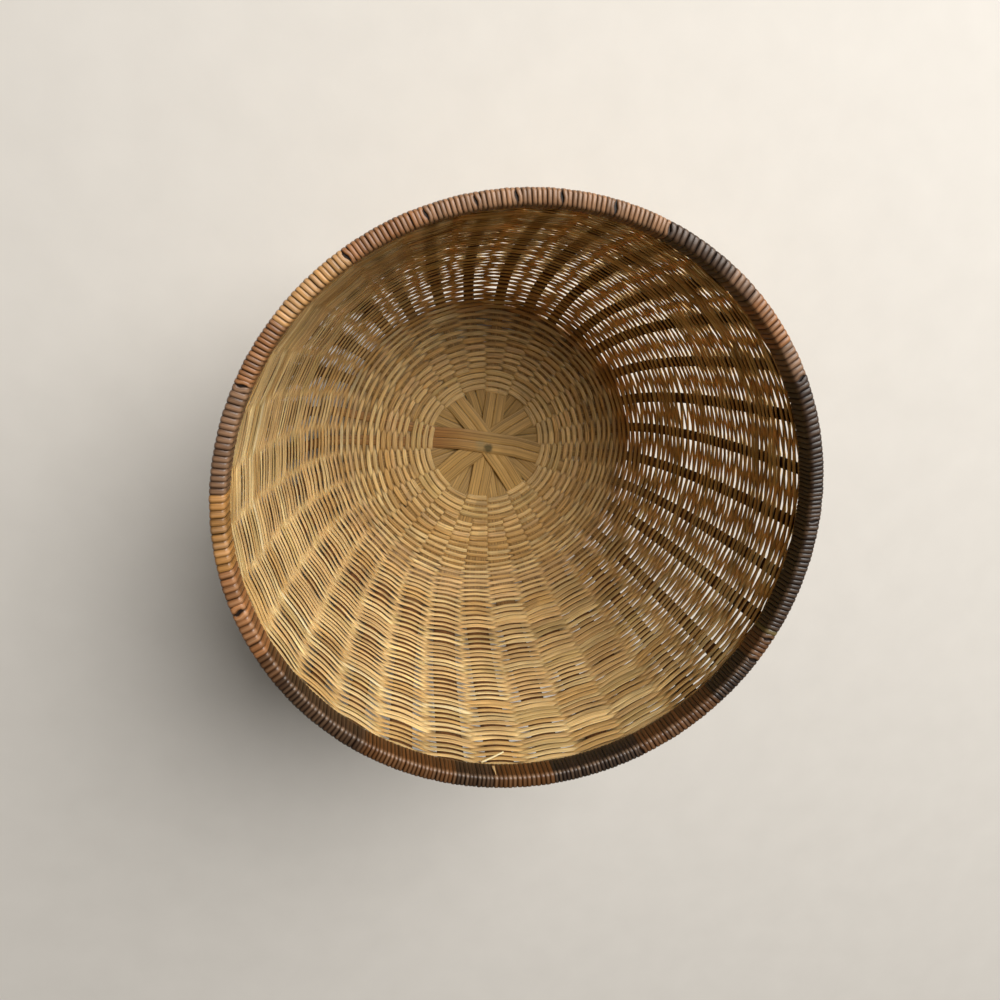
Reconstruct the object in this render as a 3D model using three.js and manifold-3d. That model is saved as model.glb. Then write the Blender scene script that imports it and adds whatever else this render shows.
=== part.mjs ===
// A round wicker basket on a short woven pedestal, as separate pieces. Millimetres, +Z up.
// The origin is the middle of the foot, on the surface that the basket stands on.

import * as THREE from 'three';
import { mergeVertices } from 'three/addons/utils/BufferGeometryUtils.js';
import Module from 'manifold-3d';

const wasm = await Module();
wasm.setup();

// Overall sizes
const rimRadius = 152.4; // outside of the bound rim
const basketHeight = 228; // table to the top of the rim
const bowlDepth = 183; // top of the rim to the upper face of the woven floor

// The bowl's curve, from the flat floor up to the rim
const floorFlatRadius = 93;
const footFlare = 9; // how far the bound foot stands out past the floor's flat part
const cornerReach = 44.6; // how far the curve keeps its run along the floor
const wallReach = 12; // how far it keeps its run below the rim
const bowlSteps = 7;
const floorEdgeSteps = 2; // of them, in the band of weave round the floor's edge
const cornerSteps = 1; // in the band above it, where the wall turns up
const lowerWallSteps = 2; // in the next, and the top band has the rest
const cornerBunching = 1.5; // over 1 brings the steps closer together in the corner

// Splints, stakes and weave
const splintCount = 8; // an even number, laid in two groups
const splintWidth = 15;
const splintThickness = 0.6;
const stakeWidth = 6.8; // of each half of a splint's end, beyond the slit
const weaveLead = 1.5; // from the slits in the splints to the first weaver of the floor
const weaveThickness = 3.4;
const levelRun = 5; // over which an arm comes level once it is clear of its neighbours
const slopeMargin = 1; // kept flat at each end of a splint's slope in the star

// Openings of the wall. Each stands for the light between several rows of weavers.
const slotHeight = 4;
const slotMargin = 2.6; // of weave, from a slot to the way of the stake beside it
const slotRows = 2; // in each band of the wall, every row with a slot between every second pair of stakes

// Hoops, bindings and the ring at the pedestal's top
const hoopThickness = 3;
const rimHoopHeight = 10;
const footHoopHeight = 8;
const capThickness = 1.2;
const bindingThickness = 0.9;
const bindingHem = 1.3; // how far a binding runs past its hoops, towards the weave
const grooveDepth = 0.45; // between two turns of a binding
const rimTurns = 64;
const footTurns = 44;
const collarRadius = 2.3;

const gap = 0.3; // left between two pieces that touch on the real basket

// Counts and angles that follow
const armCount = 2 * splintCount;
const stakeCount = 2 * armCount;
const armAngle = (2 * Math.PI) / armCount;
const stakeAngle = (2 * Math.PI) / stakeCount;
const hoopSides = 2 * stakeCount;
const weaveSides = stakeCount;

// Levels and radii that follow
const floorLevel = basketHeight - bowlDepth - weaveThickness / 2;
const footRadius = floorFlatRadius + footFlare; // outside of the bound foot
const halfStack = splintThickness / 2 + gap;
const rimStakeRadius = rimRadius - bindingThickness - hoopThickness - gap - halfStack;
const footStakeRadius = footRadius - bindingThickness - hoopThickness - gap - halfStack;
const footTopRadius = floorFlatRadius; // the pedestal's stakes are pushed up into the floor's edge
const capTop = basketHeight - bindingThickness - gap;
const capBottom = capTop - capThickness;
const rimHoopTop = capBottom - gap;
const rimHoopBottom = rimHoopTop - rimHoopHeight;
const footHoopBottom = bindingThickness + gap;
const footHoopTop = footHoopBottom + footHoopHeight;

const colours = {
  splint: 0xa9804a,
  stake: 0x5a3a1e,
  weave: 0xb8905a,
  hoop: 0x8a6235,
  binding: 0x5b3418,
};

const bareRoughness = 0.7;
const bindingRoughness = 0.45; // the outer skin of the cane keeps its gloss

function finish(colour, roughness) {
  return new THREE.MeshStandardMaterial({ color: colour, roughness, metalness: 0 });
}

// A point at a radius and height, at an angle round the basket, moved sideways by an offset.
function around(radius, height, angle, sideways = 0) {
  return new THREE.Vector3(
    radius * Math.cos(angle) - sideways * Math.sin(angle),
    radius * Math.sin(angle) + sideways * Math.cos(angle),
    height,
  );
}

function geometryOf(points, faces) {
  const geometry = new THREE.BufferGeometry();
  geometry.setAttribute('position', new THREE.Float32BufferAttribute(points.flatMap((p) => p.toArray()), 3));
  geometry.setIndex(faces.flat());
  return geometry;
}

// A solid through a row of sections, each a loop of points that runs anticlockwise as seen from the
// next section. A closed loft joins its last section to its first, and an open one gets two end faces.
function loft(sections, closed) {
  const size = sections[0].length;
  const faces = [];
  const last = closed ? sections.length : sections.length - 1;
  for (let k = 0; k < last; k++) {
    const here = k * size;
    const next = ((k + 1) % sections.length) * size;
    for (let j = 0; j < size; j++) {
      const beside = (j + 1) % size;
      faces.push([here + j, here + beside, next + beside], [here + j, next + beside, next + j]);
    }
  }
  if (!closed) {
    const end = (sections.length - 1) * size;
    for (let j = 1; j < size - 1; j++) {
      faces.push([0, j + 1, j], [end, end + j, end + j + 1]);
    }
  }
  return geometryOf(sections.flat(), faces);
}

// A solid of even thickness round a sheet of cells, each four points in anticlockwise order as seen
// from the side that the normals point to.
function thickSheet(points, normals, cells, thickness) {
  const upper = points.map((p, k) => p.clone().addScaledVector(normals[k], thickness / 2));
  const lower = points.map((p, k) => p.clone().addScaledVector(normals[k], -thickness / 2));
  const under = points.length;
  const edges = new Map();
  const faces = [];
  for (const cell of cells) {
    const [a, b, c, d] = cell;
    faces.push([a, b, c], [a, c, d]);
    faces.push([under + a, under + c, under + b], [under + a, under + d, under + c]);
    for (let j = 0; j < cell.length; j++) {
      const edge = [cell[j], cell[(j + 1) % cell.length]];
      edges.set(edge.join(), edge);
    }
  }
  // An edge that no other cell runs along the other way is on the outside, and gets a side wall.
  for (const [from, to] of edges.values()) {
    if (!edges.has([to, from].join())) {
      faces.push([from, under + from, under + to], [from, under + to, to]);
    }
  }
  return geometryOf([...upper, ...lower], faces);
}

// A ring of many flat sides turned from a closed profile of [radius, height] pairs, given
// anticlockwise. Its sides face the stakes squarely.
function turned(profile, sides) {
  const points = [...profile, profile[0]].map(([radius, height]) => new THREE.Vector2(radius, height));
  const firstCorner = (Math.PI + stakeAngle) / 2 - Math.PI / sides;
  const geometry = new THREE.LatheGeometry(points, sides, firstCorner, 2 * Math.PI);
  geometry.rotateX(Math.PI / 2);
  return welded(geometry);
}

// A plain hoop. Its inner face is drawn round its radius and its outer face inside it, so neither
// comes nearer to a neighbour than their radii say.
function hoop(inner, outer, bottom, top, sides) {
  const clear = inner / Math.cos(Math.PI / sides);
  return turned([[clear, bottom], [outer, bottom], [outer, top], [clear, top]], sides);
}

function welded(geometry) {
  geometry.deleteAttribute('normal');
  geometry.deleteAttribute('uv');
  return mergeVertices(geometry);
}

function solidOf(geometry) {
  return new wasm.Manifold(new wasm.Mesh({
    numProp: 3,
    vertProperties: geometry.attributes.position.array,
    triVerts: new Uint32Array(geometry.index.array),
  }));
}

function cutAway(geometry, cutters) {
  let solid = solidOf(geometry);
  for (const cutter of cutters) {
    solid = solid.subtract(solidOf(cutter));
  }
  const mesh = solid.getMesh();
  const cut = new THREE.BufferGeometry();
  cut.setAttribute('position', new THREE.BufferAttribute(new Float32Array(mesh.vertProperties), 3));
  cut.setIndex(new THREE.BufferAttribute(new Uint32Array(mesh.triVerts), 1));
  return cut;
}

// The bowl's middle line from the edge of the flat floor to the rim's hoops. Each place has a radius,
// a height, and the direction (inR, inZ) that points square to it, into the bowl. The places lie
// closer together in the corner, where the line turns most.
function bowlPath(steps) {
  const curve = new THREE.CubicBezierCurve(
    new THREE.Vector2(floorFlatRadius, floorLevel),
    new THREE.Vector2(floorFlatRadius + cornerReach, floorLevel),
    new THREE.Vector2(rimStakeRadius, rimHoopBottom - wallReach),
    new THREE.Vector2(rimStakeRadius, rimHoopBottom),
  );
  return Array.from({ length: steps + 1 }, (_, k) => {
    const share = (k / steps) ** cornerBunching;
    const point = curve.getPoint(share);
    const along = curve.getTangent(share);
    return { radius: point.x, height: point.y, inR: -along.y, inZ: along.x };
  });
}

const bowlLine = bowlPath(bowlSteps);

// Splints, which cross in the star and run up the wall as stakes

const halfSplint = splintWidth / 2;
const layer = splintThickness + gap;
const groupStep = layer / 2;

// Two splints lie over each other out to these radii: within a group, and next to each other.
const groupCrossing = halfSplint / Math.sin(armAngle);
const neighbourCrossing = halfSplint / Math.sin(armAngle / 2);
const starRadius = neighbourCrossing + weaveLead;

// The star from the lowest splint to the topmost, each as the number of arms that it is turned by.
// The lower group has the odd numbers and the upper group the even ones, so no neighbours share one.
function layingOrder() {
  const odd = [];
  const even = [];
  for (let turn = 0; turn < splintCount; turn++) {
    (turn % 2 ? odd : even).push(turn);
  }
  const across = even.splice(even.length / 2, 1);
  const topmost = even.splice(0, 1);
  return [...odd, ...across, ...even, ...topmost];
}

function armLevelOf(place) {
  return place >= splintCount / 2 ? groupStep : -groupStep;
}

// A stake's middle line from its slit to its top: level with its group at the star's edge, then
// level with the middle of the weave, and up the wall to the top of the hoops.
function stakeLine(armLevel) {
  const level = { inR: 0, inZ: 1 };
  return [
    { radius: neighbourCrossing + weaveLead / 2, height: floorLevel + armLevel, ...level },
    { radius: starRadius + levelRun, height: floorLevel, ...level },
    ...bowlLine,
    { ...bowlLine[bowlSteps], height: rimHoopTop },
  ];
}

// The angles of the two stakes at each end of a splint.
function stakePair(angle) {
  return [angle - stakeAngle / 2, angle + stakeAngle / 2];
}

// One splint: a bar across the middle whose ends are each slit into two stakes.
function splint(place, angle) {
  const stackLevel = (place - (splintCount - 1) / 2) * layer;
  const armLevel = armLevelOf(place);
  const barEnd = [
    [groupCrossing + slopeMargin, stackLevel],
    [neighbourCrossing - slopeMargin, armLevel],
    [neighbourCrossing, armLevel],
  ];
  const rows = [...barEnd.map(([run, level]) => [-run, level]).reverse(), ...barEnd];
  const points = [];
  const normals = [];
  const cells = [];
  for (const [run, level] of rows) {
    for (const side of [-1, 0, 1]) {
      points.push(around(run, floorLevel + level, angle, side * halfSplint));
      normals.push(new THREE.Vector3(0, 0, 1));
    }
  }
  for (let row = 0; row < rows.length - 1; row++) {
    for (const side of [0, 1]) {
      const corner = row * 3 + side;
      cells.push([corner, corner + 3, corner + 4, corner + 1]);
    }
  }
  // Each stake starts from half of the bar's end: its right edge and its left, looking outwards.
  const end = (rows.length - 1) * 3;
  const stakes = [
    ...stakePair(angle).map((stakeAt, half) => [stakeAt, end + half, end + half + 1]),
    ...stakePair(angle + Math.PI).map((stakeAt, half) => [stakeAt, 2 - half, 1 - half]),
  ];
  for (const [stakeAt, right, left] of stakes) {
    let edge = [right, left];
    for (const { radius, height, inR, inZ } of stakeLine(armLevel)) {
      const start = points.length;
      points.push(around(radius, height, stakeAt, -stakeWidth / 2));
      points.push(around(radius, height, stakeAt, stakeWidth / 2));
      normals.push(around(inR, inZ, stakeAt), around(inR, inZ, stakeAt));
      cells.push([edge[0], start, start + 1, edge[1]]);
      edge = [start, start + 1];
    }
  }
  return thickSheet(points, normals, cells, splintThickness);
}

// The way through the weave for one stake.
function stakeChannel(angle, armLevel) {
  const halfWidth = stakeWidth / 2 + gap;
  const sections = stakeLine(armLevel).map(({ radius, height, inR, inZ }) => {
    const inner = [radius + inR * halfStack, height + inZ * halfStack];
    const outer = [radius - inR * halfStack, height - inZ * halfStack];
    return [
      around(...inner, angle, -halfWidth),
      around(...outer, angle, -halfWidth),
      around(...outer, angle, halfWidth),
      around(...inner, angle, halfWidth),
    ];
  });
  return loft(sections, false);
}

// Weave of the floor and the wall

const halfWeave = weaveThickness / 2;

function floorWeave(channels) {
  const bottom = floorLevel - halfWeave;
  return cutAway(hoop(starRadius, floorFlatRadius, bottom, bottom + weaveThickness, weaveSides), channels);
}

// A place on the bowl's line moved along the line, away from the floor.
function movedAlong(place, distance) {
  const { radius, height, inR, inZ } = place;
  return { ...place, radius: radius + inZ * distance, height: height - inR * distance };
}

// The line of one band of weave, between two places on the bowl's line. It starts clear of the weave
// below it, and the top band ends clear of the rim's hoops.
function lineOfBand(first, last) {
  const start = movedAlong(bowlLine[first], gap);
  const end = movedAlong(bowlLine[last], last === bowlSteps ? -gap : 0);
  return [start, ...bowlLine.slice(first + 1, last), end];
}

// One side of the weave along a line, some way inwards from its middle, as [radius, height] pairs.
function sideOf(line, inwards) {
  return line.map((p) => [p.radius + p.inR * inwards, p.height + p.inZ * inwards]);
}

// One band of close weave, round the floor's edge or in the corner.
function bandOfWeave(channels, first, last) {
  const line = lineOfBand(first, last);
  const profile = [...sideOf(line, -halfWeave), ...sideOf(line, halfWeave).reverse()];
  return cutAway(turned(profile, weaveSides), channels);
}

// A slot through the wall, midway between two stakes, at a place on the bowl's line.
function slot({ radius, height, inR, inZ }, angle) {
  const interval = 2 * radius * Math.sin(stakeAngle / 2);
  const length = interval - stakeWidth - 2 * gap - 2 * slotMargin;
  const box = new THREE.BoxGeometry(2 * weaveThickness, length, slotHeight);
  box.rotateY(Math.atan2(inZ, -inR));
  box.translate(radius, 0, height);
  box.rotateZ(angle);
  return welded(box);
}

// The places of a band's rows of slots, spread evenly along its line.
function slotPlaces(line) {
  const lengths = line.slice(1).map((p, k) => Math.hypot(p.radius - line[k].radius, p.height - line[k].height));
  const whole = lengths.reduce((sum, length) => sum + length, 0);
  return Array.from({ length: slotRows }, (_, row) => {
    let rest = ((row + 0.5) * whole) / slotRows;
    let step = 0;
    while (rest > lengths[step]) {
      rest -= lengths[step];
      step += 1;
    }
    return movedAlong(line[step], rest);
  });
}

// One band of the open wall, woven: it passes one stake on the inside and the next on the outside.
// The band above it does the opposite, and the slots are staggered from row to row.
function wovenBand(first, last, number) {
  const line = lineOfBand(first, last);
  const pastStake = stakeWidth / 2 + gap;
  const sections = [];
  for (let stake = 0; stake < stakeCount; stake++) {
    const passesInside = (stake + number) % 2 === 1;
    const [inner, outer] = passesInside ? [halfWeave, halfStack] : [-halfStack, -halfWeave];
    const profile = [...sideOf(line, inner), ...sideOf(line, outer).reverse()];
    for (const sideways of [-pastStake, pastStake]) {
      sections.push(profile.map(([radius, height]) => around(radius, height, (stake + 0.5) * stakeAngle, sideways)));
    }
  }
  const slots = slotPlaces(line).flatMap((place, row) => (
    Array.from({ length: armCount }, (_, k) => slot(place, (2 * k + ((number + row) % 2)) * stakeAngle))
  ));
  return cutAway(loft(sections, true), slots);
}

// Bindings

// A ring of turns side by side, wrapped over a pair of hoops and left open towards the weave. Its
// section is a channel from the hem's height round the crown's height and back to the hem.
function binding({ turns, inside, outside, hem, crown, flatCrown }) {
  const inward = Math.sign(hem - crown);
  const sections = [];
  for (let station = 0; station < 2 * turns; station++) {
    const angle = (station * Math.PI) / turns;
    const sunk = station % 2 ? grooveDepth : 0;
    const crownNow = crown + (flatCrown ? 0 : inward * sunk);
    const section = [
      [inside + sunk, hem],
      [inside + sunk, crownNow],
      [outside - sunk, crownNow],
      [outside - sunk, hem],
      [outside - bindingThickness, hem],
      [outside - bindingThickness, crown + inward * bindingThickness],
      [inside + bindingThickness, crown + inward * bindingThickness],
      [inside + bindingThickness, hem],
    ].map(([radius, height]) => around(radius, height, angle));
    sections.push(inward < 0 ? section : section.reverse());
  }
  return loft(sections, true);
}

// The radii of a hoop pair and its binding, from the middle of the stakes that they clamp.
function clampRadii(stakeRadius) {
  const innerHoop = [stakeRadius - halfStack - hoopThickness, stakeRadius - halfStack];
  const outerHoop = [stakeRadius + halfStack, stakeRadius + halfStack + hoopThickness];
  const inside = innerHoop[0] - gap - bindingThickness;
  const outside = outerHoop[1] + gap + bindingThickness;
  return { innerHoop, outerHoop, inside, outside };
}

// Pedestal

const footWeaveTop = floorLevel - halfWeave - gap;
const footWeaveBottom = footHoopTop + gap;

// The middle of the pedestal's wall at a height: upright between the hoops, then drawn in to the top.
function footLine(height) {
  const share = Math.max(0, (height - footHoopTop) / (footWeaveTop - footHoopTop));
  return footStakeRadius + share * (footTopRadius - footStakeRadius);
}

function footBand(angle, grow) {
  const halfWidth = stakeWidth / 2 + grow;
  const halfThick = splintThickness / 2 + grow;
  const heights = [footHoopBottom, footHoopTop, footWeaveTop + grow];
  const sections = heights.map((height) => {
    const middle = footLine(height);
    return [
      around(middle - halfThick, height, angle, -halfWidth),
      around(middle + halfThick, height, angle, -halfWidth),
      around(middle + halfThick, height, angle, halfWidth),
      around(middle - halfThick, height, angle, halfWidth),
    ];
  });
  return loft(sections, false);
}

function footStakeAngles() {
  return Array.from({ length: stakeCount }, (_, k) => (k + 0.5) * stakeAngle);
}

function footWeave() {
  const low = footLine(footWeaveBottom);
  const high = footLine(footWeaveTop);
  const wall = turned([
    [low - halfWeave, footWeaveBottom],
    [low + halfWeave, footWeaveBottom],
    [high + halfWeave, footWeaveTop],
    [high - halfWeave, footWeaveTop],
  ], weaveSides);
  return cutAway(wall, footStakeAngles().map((angle) => footBand(angle, gap)));
}

function collar() {
  const sides = 6;
  const middleHeight = footWeaveTop - collarRadius;
  const middleRadius = footLine(middleHeight) + halfWeave + gap + collarRadius;
  const profile = Array.from({ length: sides }, (_, k) => {
    const angle = ((k + 0.5) * 2 * Math.PI) / sides;
    return [middleRadius + collarRadius * Math.cos(angle), middleHeight + collarRadius * Math.sin(angle)];
  });
  return turned(profile, weaveSides);
}

// The assembly

const basket = new THREE.Group();
basket.name = 'pedestal_wicker_basket';

function add(name, geometry, colour, roughness = bareRoughness) {
  const mesh = new THREE.Mesh(geometry, finish(colour, roughness));
  mesh.name = name;
  basket.add(mesh);
}

const channels = [];
layingOrder().forEach((turn, place) => {
  const angle = turn * armAngle;
  add(`base_splint_${place + 1}`, splint(place, angle), colours.splint);
  for (const stakeAt of [...stakePair(angle), ...stakePair(angle + Math.PI)]) {
    channels.push(stakeChannel(stakeAt, armLevelOf(place)));
  }
});
add('floor_weave', floorWeave(channels), colours.weave);
const cornerStart = floorEdgeSteps;
const lowerWallStart = cornerStart + cornerSteps;
const upperWallStart = lowerWallStart + lowerWallSteps;
add('floor_edge_weave', bandOfWeave(channels, 0, cornerStart), colours.weave);
add('corner_weave', bandOfWeave(channels, cornerStart, lowerWallStart), colours.weave);
add('lower_wall_weave', wovenBand(lowerWallStart, upperWallStart, 0), colours.weave);
add('upper_wall_weave', wovenBand(upperWallStart, bowlSteps, 1), colours.weave);

const rim = clampRadii(rimStakeRadius);
add('rim_inner_hoop', hoop(...rim.innerHoop, rimHoopBottom, rimHoopTop, hoopSides), colours.hoop);
add('rim_outer_hoop', hoop(...rim.outerHoop, rimHoopBottom, rimHoopTop, hoopSides), colours.hoop);
add('rim_cap_strip', hoop(rim.innerHoop[0], rim.outerHoop[1], capBottom, capTop, hoopSides), colours.hoop);
add('rim_binding', binding({
  turns: rimTurns,
  inside: rim.inside,
  outside: rim.outside,
  hem: rimHoopBottom - bindingHem,
  crown: basketHeight,
  flatCrown: false,
}), colours.binding, bindingRoughness);

const foot = clampRadii(footStakeRadius);
footStakeAngles().forEach((angle, k) => {
  add(`foot_stake_${String(k + 1).padStart(2, '0')}`, footBand(angle, 0), colours.stake);
});
add('foot_weave', footWeave(), colours.weave);
add('foot_collar', collar(), colours.hoop);
add('foot_inner_hoop', hoop(...foot.innerHoop, footHoopBottom, footHoopTop, hoopSides), colours.hoop);
add('foot_outer_hoop', hoop(...foot.outerHoop, footHoopBottom, footHoopTop, hoopSides), colours.hoop);
add('foot_binding', binding({
  turns: footTurns,
  inside: foot.inside,
  outside: foot.outside,
  hem: footHoopTop + bindingHem,
  crown: 0,
  flatCrown: true,
}), colours.binding, bindingRoughness);

export default basket;
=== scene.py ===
# %% [markdown]
# A pedestal wicker basket. The real one is split cane: eight flat splints cross in a star, their slit
# ends run up the wall as 32 stakes, and thin weavers go in front of one stake and behind the next.
# The rim and the foot are hoops with a glossy strand of cane skin wrapped round them.
# Every strand here is a swept mesh of its own, because the look of wicker is made by strands that
# cast shadows on each other and leave small slots of light. A flat texture can't do that.

# %% The frame that every piece is fitted to
import math

import bpy
import numpy as np
from mathutils import Matrix, Vector


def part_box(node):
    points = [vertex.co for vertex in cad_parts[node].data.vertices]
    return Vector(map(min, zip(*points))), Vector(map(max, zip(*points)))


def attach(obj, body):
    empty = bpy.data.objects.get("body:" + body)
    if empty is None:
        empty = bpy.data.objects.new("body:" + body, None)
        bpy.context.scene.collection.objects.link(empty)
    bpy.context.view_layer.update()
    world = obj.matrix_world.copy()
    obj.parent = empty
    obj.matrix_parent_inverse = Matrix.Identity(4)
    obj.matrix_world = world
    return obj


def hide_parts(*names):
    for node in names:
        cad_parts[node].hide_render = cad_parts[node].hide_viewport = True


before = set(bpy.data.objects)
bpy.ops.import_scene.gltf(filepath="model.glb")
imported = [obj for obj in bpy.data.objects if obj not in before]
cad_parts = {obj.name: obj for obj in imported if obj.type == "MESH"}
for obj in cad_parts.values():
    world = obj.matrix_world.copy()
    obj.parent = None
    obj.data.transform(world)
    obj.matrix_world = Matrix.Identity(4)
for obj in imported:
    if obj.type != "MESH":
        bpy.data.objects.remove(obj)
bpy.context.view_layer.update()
MM = 0.001
SEED = 12  # fixed, so that every run weaves the same basket
random = np.random.default_rng(SEED)

# %% [markdown]
# The sizes come first. Whatever the frame already holds is read from its boxes, so that the strands
# land on the solids, and only what a box can't tell is written here in millimetres.

# %% Sizes from the frame, and the few that a box can't tell
RIM_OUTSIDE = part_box("rim_binding")[1].x
RIM_HEM, RIM_TOP = (corner.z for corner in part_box("rim_binding"))
HOOP_BOTTOM, HOOP_TOP = (corner.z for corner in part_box("rim_inner_hoop"))
FOOT_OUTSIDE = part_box("foot_binding")[1].x
FOOT_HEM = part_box("foot_binding")[1].z
FOOT_HOOP_BOTTOM, FOOT_HOOP_TOP = (corner.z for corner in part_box("foot_inner_hoop"))
FLOOR_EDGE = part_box("floor_weave")[1].x
FLOOR_LEVEL = (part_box("floor_weave")[0].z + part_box("floor_weave")[1].z) / 2
PEDESTAL_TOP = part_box("foot_weave")[1].z

STAKE_INSET = 4.8 * MM  # from the outside of a binding to the middle of the stakes in it
STAKE_RADIUS = RIM_OUTSIDE - STAKE_INSET
FOOT_STAKE_RADIUS = FOOT_OUTSIDE - STAKE_INSET
RIM_WIDTH, FOOT_WIDTH = 8.4 * MM, 9.6 * MM  # from the outside of a binding to its inside
BINDING_THICKNESS = 1.0 * MM
CORNER_REACH = 44.6 * MM  # how far the bowl's curve keeps its run along the floor
WALL_REACH = 12.0 * MM  # how far it keeps its run below the rim
SPLINTS = 8
ARMS = 2 * SPLINTS
STAKES = 2 * ARMS
SPLINT_WIDTH = 15.0 * MM
STAKE_WIDTH = 7.2 * MM
SPLINT_THICKNESS = 0.6 * MM
STAR_RADIUS = 36.8 * MM  # where the first row of the weave starts
ARM_TURN = 2 * math.pi / ARMS
STAKE_TURN = 2 * math.pi / STAKES
print("Rim radius", round(RIM_OUTSIDE / MM, 1), "floor level", round(FLOOR_LEVEL / MM, 1), "mm")

# %% [markdown]
# The bowl is one curve turned round the middle. A point on it is found by its reach: how far it is
# from the middle of the floor, measured along the curve like a tape laid from the star to the rim.
# Both the stakes and the weavers use that, so they always meet.

# %% The bowl's curve
CURVE_STEPS = 240  # points on the bend, which puts them about a millimetre apart


def bowl_curve():
    ends = np.array([[FLOOR_EDGE, FLOOR_LEVEL], [STAKE_RADIUS, HOOP_BOTTOM]])
    handles = ends + np.array([[CORNER_REACH, 0], [0, -WALL_REACH]])
    t = np.linspace(0, 1, CURVE_STEPS)[:, None]
    curve = (1 - t) ** 3 * ends[0] + 3 * t * (1 - t) ** 2 * handles[0]
    curve += 3 * t ** 2 * (1 - t) * handles[1] + t ** 3 * ends[1]
    flat = [[0, FLOOR_LEVEL], [FLOOR_EDGE - MM, FLOOR_LEVEL]]
    points = np.vstack([flat, curve, [STAKE_RADIUS, HOOP_TOP]])
    steps = np.linalg.norm(np.diff(points, axis=0), axis=1)
    reach = np.concatenate([[0], np.cumsum(steps)])
    along = np.gradient(points, reach, axis=0)
    return reach, points, along / np.linalg.norm(along, axis=1)[:, None]


CURVE_REACH, CURVE_POINTS, CURVE_ALONG = bowl_curve()
TOP_REACH = CURVE_REACH[-1]
HOOP_REACH = CURVE_REACH[-2]


def bowl(reach):
    """Radius, height and the direction along the curve, as (outwards, upwards), at a reach."""
    radius, height = (np.interp(reach, CURVE_REACH, CURVE_POINTS[:, k]) for k in (0, 1))
    outwards, upwards = (np.interp(reach, CURVE_REACH, CURVE_ALONG[:, k]) for k in (0, 1))
    return radius, height, outwards, upwards


def rise(value, start, length):
    """0 up to start, then an even climb to 1 over the length, and 1 beyond it."""
    return np.clip((value - start) / length, 0, 1)


def pedestal(reach):
    """The same for the pedestal's wall, where reach is the height above the table."""
    share = rise(reach, FOOT_HOOP_TOP, PEDESTAL_TOP - FOOT_HOOP_TOP)
    radius = FOOT_STAKE_RADIUS + share * (FLOOR_EDGE - FOOT_STAKE_RADIUS)
    return radius, reach, np.zeros_like(reach), np.ones_like(reach)


print("From the middle of the floor to the rim's hoops:", round(HOOP_REACH / MM), "mm along the curve")


# %% [markdown]
# A strand is a small closed section swept along a path. Each ring of the sweep has a middle, a
# direction across the strand and a direction out of its face. The vertices also carry three numbers
# for the material: how far along the strand they are, how far across it, and which strand it is.
# With those the grain can run along every strand, which object coordinates alone can't give.

# %% Sweeping strands into a mesh
def signed_power(value, power):
    return np.sign(value) * np.abs(value) ** power


def squarish(corners, across_power, out_power):
    """A closed outline of half width 1 and half thickness 1, as (across, out) pairs. Powers of 1 make
    it round, and lower ones bring it nearer to a rectangle."""
    angle = (np.arange(corners) + 0.5) * 2 * math.pi / corners
    return np.column_stack([
        signed_power(np.cos(angle), across_power), signed_power(np.sin(angle), out_power),
    ])


EDGE_DARKENING, GROOVE_SHADE = 0.18, 0.8  # a weaver is a little darker towards its edges, and each turn of the binding much darker towards its grooves, which is painted shade
GRAIN_STEP = 0.37  # from one strand's number to the next, so that no two have the same grain
WEAVER_SECTION = squarish(8, 0.6, 0.8)
WEAVER_EDGES = 1 - EDGE_DARKENING * np.abs(WEAVER_SECTION[:, 0]) ** 4
HOOP_SECTION = squarish(16, 0.4, 0.4)
ROUND_SECTION = squarish(14, 1, 1)
SPLINT_SECTION = np.array([
    [1, -0.4], [1, 0.4], [0.95, 0.85], [0.5, 1], [0, 1], [-0.5, 1], [-0.95, 0.85],
    [-1, 0.4], [-1, -0.4], [-0.95, -0.85], [0, -1], [0.95, -0.85],
])
DOMED_SECTION = np.array([
    [0.97, -0.9], [1, -0.1], [0.86, 0.5], [0.48, 0.9], [0, 1.02], [-0.48, 0.9], [-0.86, 0.5],
    [-1, -0.1], [-0.97, -0.9], [0, -1],
])
# Each turn of the binding is painted darker towards its sides: painted shade in the grooves between turns.
BINDING_GROOVE_SHADE = 1 - GROOVE_SHADE * np.abs(DOMED_SECTION[:, 0]) ** 3


UP = np.array([0, 0, 1.0])


def outward_at(angle):
    """The level directions away from the basket's middle, one for each angle."""
    return np.column_stack([np.cos(angle), np.sin(angle), np.zeros(len(angle))])


def across_directions(centre, out):
    """Directions across a strand, square to its path and to the directions out of its face."""
    path = np.gradient(centre, axis=0)
    across = np.cross(path, out)
    return across / np.linalg.norm(across, axis=1)[:, None]


def sweep_faces(rings, corners, closed):
    """The quads between neighbouring rings, and the two caps of a strand that isn't a closed ring."""
    ring = np.arange(rings if closed else rings - 1)[:, None] * corners
    after = (ring + corners) % (rings * corners)
    corner = np.arange(corners)[None, :]
    beside = (corner + 1) % corners
    quads = np.stack([ring + corner, ring + beside, after + beside, after + corner], axis=-1)
    caps = [] if closed else [np.arange(corners)[::-1], (rings - 1) * corners + np.arange(corners)]
    return quads.reshape(-1, 4), caps


def new_object(name, data):
    made = bpy.data.objects.new(name, data)
    bpy.context.scene.collection.objects.link(made)
    return made


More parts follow.
